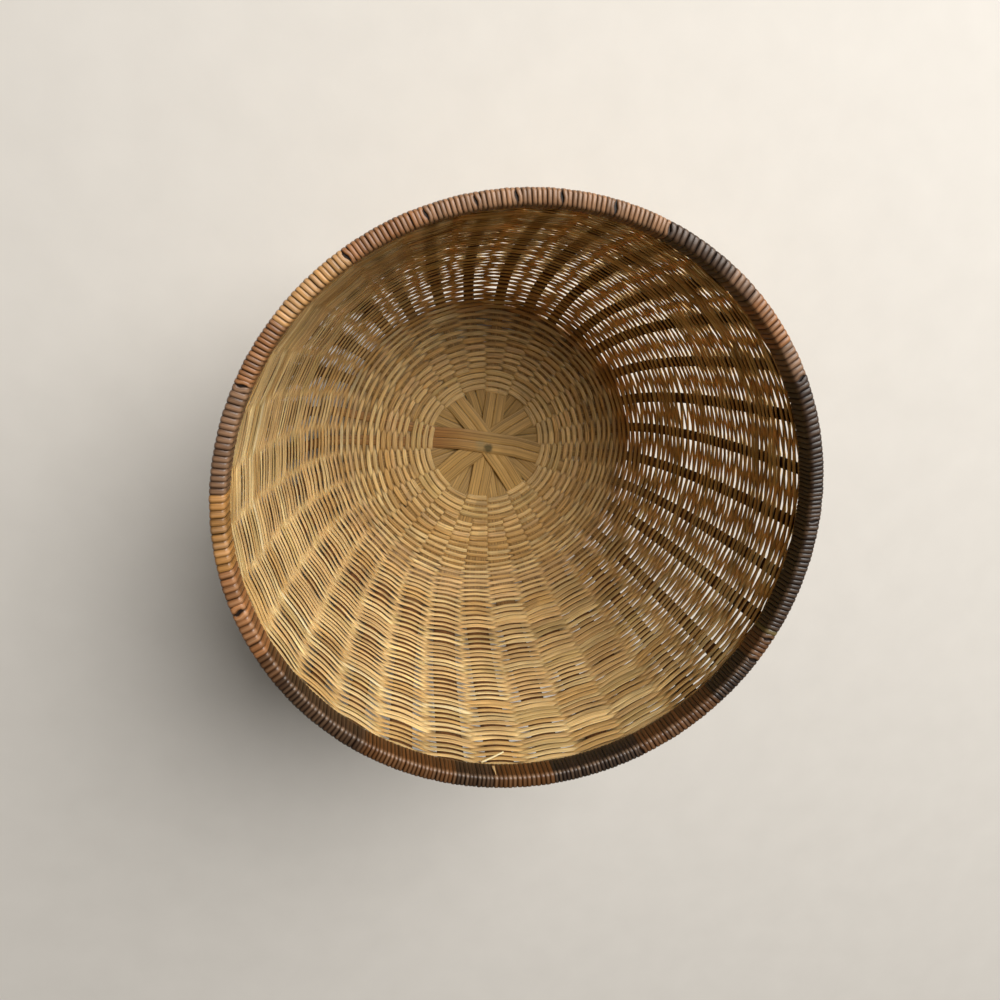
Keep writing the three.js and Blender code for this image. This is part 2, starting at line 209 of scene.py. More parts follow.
class Strands:
    """Collects strands and turns them into one mesh."""

    def __init__(self, section):
        self.section = section
        self.points, self.faces, self.tints, self.runs = [], [], [], []
        self.size = 0
        self.strands = 0

    def add(self, centre, across, out, half_width, half_thickness, tint, shade=0.0, closed=False):
        """Sweeps one strand. tint is its colour, and shade how far the material turns it to another
        one, both for the whole strand, for each ring or for each vertex."""
        rings, corners = len(centre), len(self.section)
        sideways = np.broadcast_to(half_width, rings)[:, None] * self.section[:, 0]
        outwards = np.broadcast_to(half_thickness, rings)[:, None] * self.section[:, 1]
        points = centre[:, None] + across[:, None] * sideways[..., None]
        points = points + out[:, None] * outwards[..., None]
        quads, caps = sweep_faces(rings, corners, closed)
        forward = np.sum(np.cross(across[0], out[0]) * (centre[1] - centre[0]))
        if forward < 0:
            quads, caps = quads[:, ::-1], [cap[::-1] for cap in caps]
        self.faces += (quads + self.size).tolist()
        self.faces += [(cap + self.size).tolist() for cap in caps]
        run = np.concatenate([[0], np.cumsum(np.linalg.norm(np.diff(centre, axis=0), axis=1))])
        run = np.repeat(run[:, None], corners, axis=1)
        self.strands += 1
        number = np.full((rings, corners), self.strands * GRAIN_STEP)
        self.runs.append(np.stack([run, sideways, number], axis=-1).reshape(-1, 3))
        colour = np.atleast_2d(tint)
        colour = np.broadcast_to(colour if colour.ndim == 3 else colour[:, None], (rings, corners, 3))
        shade = np.broadcast_to(np.atleast_2d(np.transpose(shade)).T, (rings, corners))
        self.tints.append(np.concatenate([colour, shade[..., None]], axis=-1).reshape(-1, 4))
        self.points.append(points.reshape(-1, 3))
        self.size += rings * corners

    def piece(self, name, material, slot, *replaced):
        """Makes the mesh, which rides on the basket's one body and stands for the solids named."""
        mesh = bpy.data.meshes.new(name)
        mesh.from_pydata(np.concatenate(self.points).tolist(), [], self.faces)
        mesh.polygons.foreach_set("use_smooth", np.ones(len(mesh.polygons), bool))
        run = mesh.attributes.new("strand", "FLOAT_VECTOR", "POINT")
        run.data.foreach_set("vector", np.concatenate(self.runs).astype(np.float32).ravel())
        tint = mesh.attributes.new("tint", "FLOAT_COLOR", "POINT")
        tint.data.foreach_set("color", np.concatenate(self.tints).astype(np.float32).ravel())
        mesh.materials.append(material)
        mesh.update()
        made = new_object(name, mesh)
        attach(made, "root")
        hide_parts(*replaced)
        return made


# %% [markdown]
# Colours are written as the sRGB hex values that one reads off a picture, and Blender mixes light in
# linear numbers, so one function turns the first into the second. One more function adds a shader
# node with its settings and links, which keeps each material short enough to read.

# %% Colours and shader nodes
def linear(colour):
    """A hex sRGB colour as linear red, green and blue."""
    shares = np.array([int(colour[k:k + 2], 16) / 255 for k in (1, 3, 5)])
    return np.where(shares <= 0.04045, shares / 12.92, ((shares + 0.055) / 1.055) ** 2.4)


def node(tree, kind, inputs=None, **settings):
    """Adds a node. An input that is a socket is linked, and any other is set."""
    made = tree.nodes.new(kind)
    for name, value in settings.items():
        setattr(made, name, value)
    for name, value in (inputs or {}).items():
        if isinstance(value, bpy.types.NodeSocket):
            tree.links.new(value, made.inputs[name])
        else:
            made.inputs[name].default_value = value
    return made


def new_material(name):
    material = bpy.data.materials.new(name)
    material.use_nodes = True
    return material, material.node_tree, material.node_tree.nodes["Principled BSDF"]


MIX_FACTOR, MIX_A, MIX_B, MIX_RESULT = 0, 6, 7, 2  # the colour sockets of a Mix node
STRAND_APART, STRAND_APART_IN_LINES = 7.3, 3.1  # how far apart two strands lie in the noise
LINES_FROM, LINES_TO = 0.54, 0.62  # only the highest parts of the noise become dark lines
RAGGED = 2.5 * MM  # the size of the bays and tongues at the edge of a stain


def grained_colour(tree, grain_width, grain_length, contrast, lines):
    """The strand's own tint with long fibres in it, some of them dark lines. Gives the colour, the
    grain and the strand's shade number, all as sockets."""
    strand = node(tree, "ShaderNodeAttribute", attribute_name="strand")
    tint = node(tree, "ShaderNodeAttribute", attribute_name="tint")
    fibres = node(tree, "ShaderNodeVectorMath", {
        0: strand.outputs["Vector"], 1: (1 / grain_length, 1 / grain_width, STRAND_APART),
    }, operation="MULTIPLY")
    grain = node(tree, "ShaderNodeTexNoise", {"Vector": fibres.outputs[0], "Scale": 1.0, "Detail": 3.0})
    light = node(tree, "ShaderNodeMapRange", {
        "Value": grain.outputs["Fac"], "From Min": 0.25, "From Max": 0.75,
        "To Min": 1 - contrast, "To Max": 1 + contrast,
    })
    threads = node(tree, "ShaderNodeVectorMath", {
        0: strand.outputs["Vector"],
        1: (0.4 / grain_length, 1.5 / grain_width, STRAND_APART_IN_LINES),
    }, operation="MULTIPLY")
    thread = node(tree, "ShaderNodeTexNoise", {"Vector": threads.outputs[0], "Scale": 1.0, "Detail": 1.0})
    line = node(tree, "ShaderNodeMapRange", {
        "Value": thread.outputs["Fac"], "From Min": LINES_FROM, "From Max": LINES_TO,
        "To Min": 1.0, "To Max": 1 - lines,
    })
    both = node(tree, "ShaderNodeMath", {
        0: light.outputs["Result"], 1: line.outputs["Result"],
    }, operation="MULTIPLY")
    colour = node(tree, "ShaderNodeVectorMath", {
        0: tint.outputs["Color"], "Scale": both.outputs[0],
    }, operation="SCALE")
    return colour.outputs[0], grain.outputs["Fac"], tint.outputs["Alpha"]


def patches_of_age(tree, patch, most):
    """Where and how far cane that was handled and left in the light for years has turned brown."""
    place = node(tree, "ShaderNodeTexCoord")
    patches = node(tree, "ShaderNodeTexNoise", {
        "Vector": place.outputs["Object"], "Scale": 1 / patch, "Detail": 4.0, "Roughness": 0.6,
    })
    share = node(tree, "ShaderNodeMapRange", {
        "Value": patches.outputs["Fac"], "From Min": 0.45, "From Max": 0.75,
        "To Min": 0.0, "To Max": most,
    })
    return share.outputs["Result"]


def spot(tree, depth, centre, inner, outer, softness):
    """As much as depth inside a spot with ragged edges, and 0 outside it."""
    place = node(tree, "ShaderNodeTexCoord").outputs["Object"]
    ragged = node(tree, "ShaderNodeTexNoise", {"Vector": place, "Scale": 1 / RAGGED, "Detail": 3.0})
    flat = node(tree, "ShaderNodeVectorMath", {0: place, 1: (1, 1, 0)}, operation="MULTIPLY")
    distance = node(tree, "ShaderNodeVectorMath", {
        0: flat.outputs[0], 1: (*centre, 0),
    }, operation="DISTANCE")
    pushed = node(tree, "ShaderNodeMath", {
        0: ragged.outputs["Fac"], 1: softness, 2: distance.outputs["Value"],
    }, operation="MULTIPLY_ADD")
    inside = node(tree, "ShaderNodeMapRange", {
        "Value": pushed.outputs[0], "From Min": inner, "From Max": outer, "To Min": depth, "To Max": 0.0,
    })
    return inside.outputs["Result"]


# %% [markdown]
# The four canes of the basket differ in their numbers alone, so one function makes them all. Their
# real fibres are about a tenth of a millimetre apart. That is too fine to show in the picture, so
# each is drawn five to eight times as wide. The grain also drives the roughness and a fine relief.

# %% Cane of any kind
def cane(name, fibres, ageing, finish, painted_light_and_wear_colour=None, spots=()):
    """fibres are the numbers for grained_colour. ageing is the old colour, the size of its patches and
    how strong they are. finish is the roughness between the fibres and on them, how far they are
    raised, and the IOR."""
    material, tree, surface = new_material(name)
    colour, grain, shade = grained_colour(tree, *fibres)
    layers = [(patches_of_age(tree, *ageing[1:]), ageing[0])]
    layers += [(shade, painted_light_and_wear_colour)] if painted_light_and_wear_colour else []
    layers += [(spot(tree, *where), wet) for wet, *where in spots]
    for share, other in layers:
        mixed = node(tree, "ShaderNodeMix", {
            MIX_FACTOR: share, MIX_A: colour, MIX_B: (*linear(other), 1),
        }, data_type="RGBA")
        colour = mixed.outputs[MIX_RESULT]
    smoothest, roughest, relief, ior = finish
    roughness = node(tree, "ShaderNodeMapRange", {
        "Value": grain, "To Min": smoothest, "To Max": roughest,
    })
    bump = node(tree, "ShaderNodeBump", {"Height": grain, "Strength": 1.0, "Distance": relief})
    tree.links.new(colour, surface.inputs["Base Color"])
    tree.links.new(roughness.outputs["Result"], surface.inputs["Roughness"])
    tree.links.new(bump.outputs["Normal"], surface.inputs["Normal"])
    surface.inputs["IOR"].default_value = ior
    return material


# %% [markdown]
# The core, shaved flat for the weavers, is dry and matt with short fibres, so it scatters light and
# shows no clear highlight. The light that comes back out of it is a little warmer than what went in.

# %% Shaved cane core, for the weavers
# The weavers' shade number mixes them towards the dark brown below: painted shade.
CORE = cane("shaved_cane_core", fibres=(0.7 * MM, 16 * MM, 0.24, 0.32),
            ageing=("#8F6C3A", 60 * MM, 0.4), finish=(0.62, 0.8, 0.08 * MM, 1.45),
            painted_light_and_wear_colour="#3A2210")
core_surface = CORE.node_tree.nodes["Principled BSDF"]
core_surface.inputs["Subsurface Weight"].default_value = 0.5
core_surface.inputs["Subsurface Radius"].default_value = (1.0, 0.85, 0.6)
core_surface.inputs["Subsurface Scale"].default_value = 1.2 * MM

# %% [markdown]
# The splints are wider strips of the same plant with the hard outer side left on, split by hand.
# They show straight dark fibre lines. At the middle of the star is an old grey-green water stain,
# with a paler smear beside it. Each is given as its colour, how strong it is, its middle, the
# radius where it starts to fade and where it ends, and how ragged it is.

# %% Hand-split splint, for the star and the stakes
SMEAR = ("#8C8460", 0.5, (-4.8 * MM, 0.8 * MM), 3.4 * MM, 7.5 * MM, 5.0 * MM)
STAIN = ("#34381F", 0.8, (1.1 * MM, -0.7 * MM), 3.4 * MM, 5.6 * MM, 3.0 * MM)
SPLINT = cane("hand_split_splint", fibres=(0.8 * MM, 45 * MM, 0.34, 0.42),
              ageing=("#735026", 40 * MM, 0.4), finish=(0.5, 0.7, 0.12 * MM, 1.45),
              spots=(SMEAR, STAIN))

# %% [markdown]
# The binding is the plant's own skin, some of it dyed nearly black and some left honey brown. It is
# hard and close, so it catches a narrow highlight along every turn. On top the turns are painted
# paler, partly wear and partly painted highlight, and towards the grooves between them they are painted
# darker, as painted shade. The hoops under it are rods and strips of the same plant, bent while they
# were green and shaved smooth. They are brown and less shiny.

# %% Glossy cane skin for the bindings, and bent cane for the hoops and the collar
# The pale colour of the skin is mixed in on top of each turn: partly wear, partly painted highlight.
SKIN = cane("glossy_cane_skin", fibres=(0.5 * MM, 10 * MM, 0.3, 0.4),
            ageing=("#5A3A26", 30 * MM, 0.2), finish=(0.3, 0.52, 0.07 * MM, 1.5),
            painted_light_and_wear_colour="#D8B08A")
ROD = cane("bent_cane_rod", fibres=(0.5 * MM, 25 * MM, 0.25, 0.2),
           ageing=("#5E3A1C", 35 * MM, 0.5), finish=(0.42, 0.6, 0.1 * MM, 1.48))
print("Materials:", [material.name for material in (CORE, SPLINT, SKIN, ROD)])

# %% [markdown]
# Each splint is one strip that runs from the rim, down the wall, across the star and up the other
# side, slit in two from both ends. Modelling it as two half strips that touch in the middle gives
# the slit for free, and keeps the grain straight across the star.

# %% How hand work wanders
SHIFTS = random.normal(0, 0.045, STAKES)  # each stake's own shift, as a share of their spacing
ROOT_ANGLE, ROOT_SPREAD = math.radians(-88), math.radians(38)  # the splints' root ends lie this way
ROOT_WIDENING = 1.1  # and are wider than the others by up to this share


def nearness(angle, place, spread):
    """1 at a place round the basket, and less and less on both sides of it."""
    away = np.mod(angle - place + math.pi, 2 * math.pi) - math.pi
    return np.exp(-(away / spread) ** 2)


STAKE_ANGLES = (np.arange(STAKES) + 0.5) * STAKE_TURN
OWN_WIDTHS = 1 + random.normal(0, 0.06, STAKES)
OWN_WIDTHS += ROOT_WIDENING * nearness(STAKE_ANGLES, ROOT_ANGLE, ROOT_SPREAD)


def between_stakes(values, stake):
    """A value that each stake has, read at any place between them."""
    low = np.floor(stake).astype(int)
    share = stake - low
    return values[low % STAKES] * (1 - share) + values[(low + 1) % STAKES] * share


def stake_shift(stake, reach):
    """How far a stake stands beside its even place, as an angle. It grows from the floor to the wall."""
    return between_stakes(SHIFTS, stake) * STAKE_TURN * rise(reach, FLOOR_EDGE / 2, FLOOR_EDGE / 2)


# %% The star and the stakes
LAYING_ORDER = [1, 3, 5, 7, 4, 2, 6, 0]  # which way each splint lies, from the lowest to the topmost
LAYER = 0.88 * MM  # from one splint of the star to the next
CROSSING_REACH = 20.6 * MM  # all the splints lie over each other out to here
ARM_CLEAR_REACH = 37.4 * MM  # and in two layers of arms from here
LEVEL_REACH = 45.0 * MM  # where the arms are level with the weave
SLIT_START, SLIT_END = 6 * MM, 38 * MM
SLIT_GAP = 0.24 * MM
WALL_STEP, CROSSING_STEPS = 3 * MM, 41  # between two rings up the wall, and rings across the star
SKEW, SIDESTEP = 1.3, 0.9 * MM  # how far from true a splint may lie, in degrees and sideways
TOPMOST_SKEW, TOPMOST_SIDESTEP = 0.7, 0.3 * MM  # and how far the topmost one does
STAR_CENTRE = np.array([0.1, 3.0]) * MM  # they cross a little beside the middle of the floor
STAR_TINT, STAKE_TINT, RED_END = linear("#C09A5A"), linear("#5E3A1C"), linear("#93602F")
# From the star up the wall a splint is painted towards the darker stake colour: partly the stakes' own
# darker colour, partly painted shade where they stand behind the weave.
WALL_DARKENING = ([STAR_RADIUS, 1.2 * STAR_RADIUS, FLOOR_EDGE, 1.5 * FLOOR_EDGE], [0, 0.12, 0.3, 1])
RED_SHARE = 0.75  # how far the topmost splint turns red-brown towards one end
STAKE_EDGE_SHADE = 0.55  # how much darker the edges of a stake are painted, as painted shade beside it


def splint_level(place, reach):
    """How high a splint lies over the weave: in a stack of eight, then of two, then level with it."""
    stack = (place - (SPLINTS - 1) / 2) * LAYER
    arm = (0.5 if place >= SPLINTS // 2 else -0.5) * LAYER
    return np.interp(reach, [CROSSING_REACH, ARM_CLEAR_REACH, LEVEL_REACH], [stack, arm, 0])


def half_splint_width(reach, stake, width, slit):
    """Half the width of a half strip, which turns from a quarter splint into a stake of its own."""
    split = np.interp(reach, [STAR_RADIUS, 1.5 * STAR_RADIUS], [0, 1])
    half_width = (1 - split) * width / 4 + split * between_stakes(OWN_WIDTHS, stake) * STAKE_WIDTH / 2
    return half_width - np.where(reach < STAR_RADIUS, slit / 2, 0)


def half_splint_colour(place, run, reach, tint):
    """A splint turns darker from the star up the wall, partly its own colour and partly painted shade, and
    on the wall its edges get painted shade too.
    """
    dark = np.interp(reach, *WALL_DARKENING)[:, None]
    colour = tint * (1 - dark) + STAKE_TINT * dark
    if place == SPLINTS - 1:
        red = RED_SHARE * np.clip(-run / STAR_RADIUS, 0, 1)[:, None] * (1 - dark)
        colour = colour * (1 - red) + RED_END * red
    # On the wall the edges of each stake are painted darker: painted shade beside the stake.
    shaded_edge = np.where(reach > STAR_RADIUS, dark[:, 0], 0)[:, None] * np.abs(SPLINT_SECTION[:, 0]) ** 3
    return colour[:, None] * (1 - STAKE_EDGE_SHADE * shaded_edge)[..., None]


def half_splint(strands, place, angle, side, tint, width, skew, sidestep):
    """Half of a splint, on the left of its direction (side 1) or on the right (side -1)."""
    up_the_wall = np.arange(TOP_REACH, LEVEL_REACH, -WALL_STEP)
    crossing = np.linspace(-LEVEL_REACH, LEVEL_REACH, CROSSING_STEPS)
    run = np.concatenate([-up_the_wall, crossing, up_the_wall[::-1]])
    reach = np.abs(run)
    radius, height, outwards, upwards = bowl(reach)
    slit = np.interp(reach, [SLIT_START, SLIT_END], [0, SLIT_GAP])
    parallel = width / 4 + slit / 4
    sideways = np.maximum(parallel, radius * math.sin(STAKE_TURN / 2)) * side
    forward = np.sign(run) * np.sqrt(np.maximum(radius ** 2 - sideways ** 2, 0))
    forward = np.where(radius < 2 * parallel, np.sign(run) * radius, forward)
    laid = np.interp(reach, [CROSSING_REACH, LEVEL_REACH], [1, 0])
    sideways = sideways + sidestep * laid + skew * laid * run
    ahead = np.array([math.cos(angle), math.sin(angle)])
    left = np.array([-math.sin(angle), math.cos(angle)])
    x, y = (forward[:, None] * ahead + sideways[:, None] * left).T

    half_turn = side * STAKE_TURN / 2
    end_angle = np.where(run > 0, angle + half_turn, angle + math.pi - half_turn)
    stake = np.round(end_angle / STAKE_TURN - 0.5)
    shift = stake_shift(stake, reach)
    cos, sin = np.cos(shift), np.sin(shift)
    centre = np.column_stack([x * cos - y * sin, x * sin + y * cos, np.zeros(len(run))])
    radial = centre / np.maximum(np.linalg.norm(centre, axis=1), MM)[:, None]
    centre[:, 2] = height + splint_level(place, reach)
    out = -upwards[:, None] * radial
    out[:, 2] = outwards
    strands.add(centre, across_directions(centre, out), out, half_splint_width(reach, stake, width, slit),
                SPLINT_THICKNESS / 2, half_splint_colour(place, run, reach, tint))


for place, turn in enumerate(LAYING_ORDER):
    splint = Strands(SPLINT_SECTION)
    # Each splint has its own tone, and the lower ones in the stack are painted darker: painted shade under
    # the splints above.
    own_tint = STAR_TINT * (random.uniform(0.86, 1.08) * (0.78 + 0.27 * place / (SPLINTS - 1)))
    skew, sidestep = math.radians(random.uniform(-SKEW, SKEW)), random.uniform(-SIDESTEP, SIDESTEP)
    if place == SPLINTS - 1:
        skew, sidestep = math.radians(TOPMOST_SKEW), TOPMOST_SIDESTEP
    sidestep += STAR_CENTRE[1] * math.cos(turn * ARM_TURN) - STAR_CENTRE[0] * math.sin(turn * ARM_TURN)
    width = SPLINT_WIDTH * random.uniform(0.92, 1.0) if place < SPLINTS - 1 else SPLINT_WIDTH
    for side in (-1, 1):
        half_splint(splint, place, turn * ARM_TURN, side, own_tint * random.uniform(0.93, 1.07),
                    width, skew, sidestep)
    splint.piece(f"star_splint_{place + 1}", SPLINT, "splint", f"base_splint_{place + 1}")
print("Splints:", SPLINTS, "with", STAKES, "stakes")

# %% [markdown]
# A weaver is held by two rules. Where it passes a stake it lies against that stake's inside or its
# outside. Between two stakes that it passes outside, it is pulled straight, and on a round wall a
# straight line cuts inside the circle, so the weave bulges inwards in front of every second stake.
# That bulge is what opens the slots of light, and it follows here from the geometry alone.

# %% Where a weaver lies
FLOOR_LIFT = 0.8 * MM  # from the middle of a stake to the middle of a weaver beside it
WALL_LIFT = 0.95 * MM
BEND_MARGIN = 0.4 * MM  # it stays against a stake for this much more than the stake's half width
MOST_HELD = 0.41  # and for no more than this share of the way to the next stake


def wave(step, odd, spacing, stake_width):
    """Position of a weaver past the stakes. step counts stakes, and the weaver passes inside those
    whose number plus odd is even. Gives how far inside it is, from -1 to 1, and its place between
    two outside passes, from -1 to 1."""
    between = np.mod(step + odd + 1, 2) - 1
    held = np.minimum((stake_width / 2 + BEND_MARGIN) / spacing, MOST_HELD)
    side = np.clip((0.5 - np.abs(between)) / (0.5 - held), -1, 1)
    return np.sin(side * math.pi / 2), between, held


def weaver_offset(step, odd, radius, count, stake_width, steepness):
    """How far a weaver lies inside the middle of the stakes, and how far it is towards a float."""
    turn = 2 * math.pi / count
    spacing = radius * turn
    side, between, held = wave(step, odd, spacing, stake_width)
    lift = FLOOR_LIFT + (WALL_LIFT - FLOOR_LIFT) * steepness
    taut = radius * (turn * (1 - held)) ** 2 / 2
    bulge = np.maximum(taut, 2 * lift)
    chord = bulge * np.clip(1 - (between / (1 - held)) ** 2, 0, None) - lift
    share = steepness ** 2
    return (1 - share) * lift * side + share * chord, side


# %% [markdown]
# Two weavers chase each other round the basket, each in front where the other is behind, and climb
# by two rows a turn. A row's height is found from the pitch: wide flat weavers on the floor, a more
# open band where the wall starts, and finer rows towards the rim. A weaver is one to three turns long,
# so each one is cut into lengths that start and end behind a stake, each with its own tone of cane.

# %% Rows of the bowl
ROWS_OVER_ARMS = 8  # these pass over whole arms, and the rest over the slit halves
PITCH_SHARE = [0.15, 0.25, 0.33, 0.4, 0.48, 0.55, 0.7, 0.85, 1.0]  # of the way from the middle to the rim
PITCH_AT = [share * HOOP_REACH for share in PITCH_SHARE]
PITCH = [pitch * MM for pitch in (2.1, 2.3, 2.0, 1.9, 2.4, 2.5, 2.1, 2.15, 2.3)]


def row_reaches(pitch_at, pitch, start, end):
    reaches = [start]
    while reaches[-1] < end:
        step = np.interp(reaches[-1], pitch_at, pitch) * random.uniform(0.93, 1.07)
        reaches.append(reaches[-1] + step)
    return np.array(reaches)


BOWL_ROWS = row_reaches(PITCH_AT, PITCH, STAR_RADIUS + 0.4 * MM, HOOP_REACH)
print("Rows of the bowl:", len(BOWL_ROWS))

TONES = ["#DDBB80", "#D5B076", "#E2C48A", "#CDA668", "#D8B47E", "#CFB074", "#ECD5A2"]
TONE_SHARES = [0.29, 0.25, 0.15, 0.11, 0.09, 0.06, 0.05]
PALE_TONE = len(TONES) - 1


def lengths_of_weaver(first, last, count, on_wall):
    """Cuts the run of stakes from first to last into lengths with their tones. A length ends where
    it is hidden behind a stake. The palest ones are offcuts of a third of a turn, on the wall alone."""
    start = first
    while start < last:
        tone = random.choice(len(TONES), p=TONE_SHARES)
        if tone == PALE_TONE and not on_wall:
            tone = 0
        stakes = count // 3 if tone == PALE_TONE else int(random.uniform(0.8, 2.6) * count)
        end = start + 2 * (stakes // 2)
        if last - end < count // 4:
            end = last
        yield start, end, tone
        start = end


# %% [markdown]
# Nobody beats the rows down evenly. Where they were pushed close, the slots shut, and where they
# stayed loose, the slots are long and wide. Slow waves that all the rows share give that, and they
# keep the rows from crossing each other.

# %% Rows that rise and fall together
EASE = 40 * MM  # what changes with the reach comes in over this
SETTLING = [  # each wave's height, its length along the wall, how often it goes round, and its phase
    (random.uniform(0.18, 0.34) * MM, random.uniform(20, 55) * MM, int(random.integers(-6, 7)),
     random.uniform(0, 2 * math.pi)) for _ in range(8)
]
STAR_ASIDE, STAR_ASIDE_ANGLE = 2.4 * MM, math.radians(115)  # the first rows lie aside of the middle
ROUND_AGAIN, ASIDE_FADE = 80 * MM, 44 * MM  # and at this reach the rows are round again


def settled(reach, angle):
    """The reach after settling, and how much room a row has there against its even share."""
    quiet = rise(reach, STAR_RADIUS, EASE) * rise(HOOP_REACH - reach, 0, 6 * MM)
    aside = STAR_ASIDE * np.cos(angle - STAR_ASIDE_ANGLE)
    moved = reach + aside * rise(ROUND_AGAIN - reach, 0, ASIDE_FADE)
    room = np.ones_like(reach)
    for amplitude, length, waves, phase in SETTLING:
        turned = 2 * math.pi * reach / length + waves * angle + phase
        moved += amplitude * quiet * np.sin(turned)
        room += amplitude * quiet * 2 * math.pi / length * np.cos(turned)
    return moved, room


def smooth_noise(count, every, amount):
    """A random wobble with one knot in every so many samples."""
    knots = random.normal(0, 1, count // every + 3)
    share = np.arange(count) / every
    eased = np.floor(share) + (1 - np.cos(math.pi * (share % 1))) / 2
    return amount * np.interp(eased, np.arange(len(knots)), knots)


# %% How low the rows hang, and how wide and what colour a weaver is
SAG, SAG_ANGLE, SAG_SPREAD = 1.5 * MM, math.radians(-110), 1.1  # the rows hang down at each stake
SAG_ELSEWHERE = 0.15  # the share of that which is left far from there
WALL_START = 1.2 * FLOOR_EDGE
FLATNESS = ([STAR_RADIUS, 0.8 * FLOOR_EDGE, 0.95 * FLOOR_EDGE, 1.15 * FLOOR_EDGE, HOOP_REACH],
            [0.86, 0.72, 0.64, 0.57, 0.6])  # half a float's width against the pitch, at each reach
CLOSE_PLACES = [  # where the wall is woven closer: angle, spread, reach where it starts, how much
    (math.radians(-60), 0.38, 95 * MM, 0.32), (math.radians(60), 1.05, 165 * MM, 0.1),
    (math.radians(172), 0.6, 190 * MM, 0.1),
]
NARROW = 0.5  # the same between two floats
ARM_POWER, FLOAT_POWER = 0.55, 0.75  # the lower, the squarer the ends of a float
PALE_WIDENING = 1.2
WEAVER_THICKNESS = 0.76 * MM
TUCK_BEFORE, TUCK_AFTER = 0.3, 0.45  # how far a length goes on past the stakes at its ends, in steps
TUCK_DEPTH = 0.4 * MM


def sagged(reach, angle, step):
    sag = SAG * (SAG_ELSEWHERE + (1 - SAG_ELSEWHERE) * nearness(angle, SAG_ANGLE, SAG_SPREAD))
    return reach - sag * rise(reach, FLOOR_EDGE, EASE) * np.cos(math.pi * step) ** 2


def woven_width(wall, count, flatness, reach, angle, side, room, steepness):
    """Half a weaver's width against the pitch. It is full where the weaver floats past a stake, less
    on the way to its other side, and never so much that two rows cross."""
    full = np.interp(reach, *flatness)
    if wall is bowl:
        for place, spread, start, closer in CLOSE_PLACES:
            full = full + closer * rise(reach, start, EASE) * nearness(angle, place, spread)
    narrow = NARROW * np.clip(room, 0.8, 1.1)
    power = ARM_POWER if count == ARMS else FLOAT_POWER
    share = narrow + np.maximum(full - narrow, 0) * np.abs(side) ** power
    return np.minimum(share, (1.04 - 0.07 * steepness) * room)


def weaver_colour(tone, start, end, step, side, steepness, steps):
    """The tone of one length, which drifts along it and steps a little from float to float. On the wall it
    gets painted shade where it passes inside a stake.
    """
    tint = linear(TONES[tone]) * random.uniform(0.94, 1.05)
    each_float = random.normal(1, 0.045, (end - start) // 2 + 3)
    odd_ones = random.uniform(0, 1, len(each_float))
    each_float[odd_ones < 0.05] *= 1.15
    each_float[odd_ones > 0.95] *= 0.82
    drift = each_float[((step - start + 1) / 2).astype(int)] + smooth_noise(len(step), 9 * steps, 0.05)
    # Where the weaver passes inside a stake on the wall it is painted a little darker: painted shade.
    drift = drift * (1 - 0.07 * np.clip(side, 0, 1) ** 2 * steepness)
    return (tint * drift[:, None])[:, None] * WEAVER_EDGES[None, :, None]


# %% One of the two weavers of a band, cut into lengths
def weave(strands, wall, rows, row_range, count, odd, stake_width, steps, flatness):
    """wall gives the surface, rows the reach of each row, and count the stakes or arms in a turn."""
    turn = 2 * math.pi / count
    first, last = (int(row / 2 * count) for row in row_range)
    first += (first + odd + 1) % 2
    last += (last + odd + 1) % 2
    on_wall = rows[min(int(row_range[1]), len(rows) - 1)] > WALL_START
    for start, end, tone in lengths_of_weaver(first, last, count, on_wall):
        step = np.linspace(start - TUCK_BEFORE, end + TUCK_AFTER, (end - start) * steps)
        samples = len(step)
        row = np.clip(2 * step / count + odd, 0, len(rows) - 1.01)
        whole = row.astype(int)
        pitch = np.interp(row, np.arange(len(rows) - 1), np.diff(rows))
        reach = rows[whole] + (row - whole) * np.diff(rows)[whole]
        wander = smooth_noise(samples, int(1.4 * steps), 0.1) + smooth_noise(samples, 6 * steps, 0.08)
        angle = step * turn + (0 if count == ARMS else turn / 2)
        room = np.ones(samples)
        if wall is bowl:
            reach, room = settled(reach, angle)
            angle = angle + stake_shift(angle / STAKE_TURN - 0.5, reach)
            if count == STAKES:
                stake_width = STAKE_WIDTH * between_stakes(OWN_WIDTHS, angle / STAKE_TURN - 0.5)
        reach = reach + wander * pitch * np.clip(2 * room - 1, 0.2, 1)
        if wall is bowl:
            reach = sagged(reach, angle, step)
        radius, height, outwards, upwards = wall(reach)
        offset, side = weaver_offset(step, odd, radius, count, stake_width, upwards)
        tucked = TUCK_DEPTH * rise(step, end, TUCK_AFTER)
        offset = offset - tucked + smooth_noise(samples, steps, 0.08 * MM)
        share = woven_width(wall, count, flatness, reach, angle, side, room, upwards)
        share = share * random.uniform(0.9, 1.06) * (PALE_WIDENING if tone == PALE_TONE else 1)
        half_width = pitch * share * (1 + smooth_noise(samples, steps, 0.09))
        radial = outward_at(angle)
        inwards = outwards[:, None] * UP - upwards[:, None] * radial
        along = outwards[:, None] * radial + upwards[:, None] * UP
        centre = radius[:, None] * radial + height[:, None] * UP + offset[:, None] * inwards
        twist = smooth_noise(samples, steps, 0.12)[:, None]
        colour = weaver_colour(tone, start, end, step, side, upwards, steps)
        # The faces of a weaver that turn into the bowl where it passes behind a stake get painted shade,
        # more on the wall than on the floor.
        behind = np.clip(-side[:, None] * strands.section[:, 1], 0, 1)
        strands.add(centre, along + twist * inwards, inwards - twist * along, half_width,
                    WEAVER_THICKNESS / 2, colour, behind * (0.5 + 0.35 * upwards)[:, None])


# %% The weave of the bowl
def row_between(lower, upper):
    """The number of the row where one solid of the weave ends and the next begins."""
    height = (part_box(lower)[1].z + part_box(upper)[0].z) / 2
    reach = np.interp(height, CURVE_POINTS[2:, 1], CURVE_REACH[2:])
    return int(np.searchsorted(BOWL_ROWS, reach)) // 2 * 2


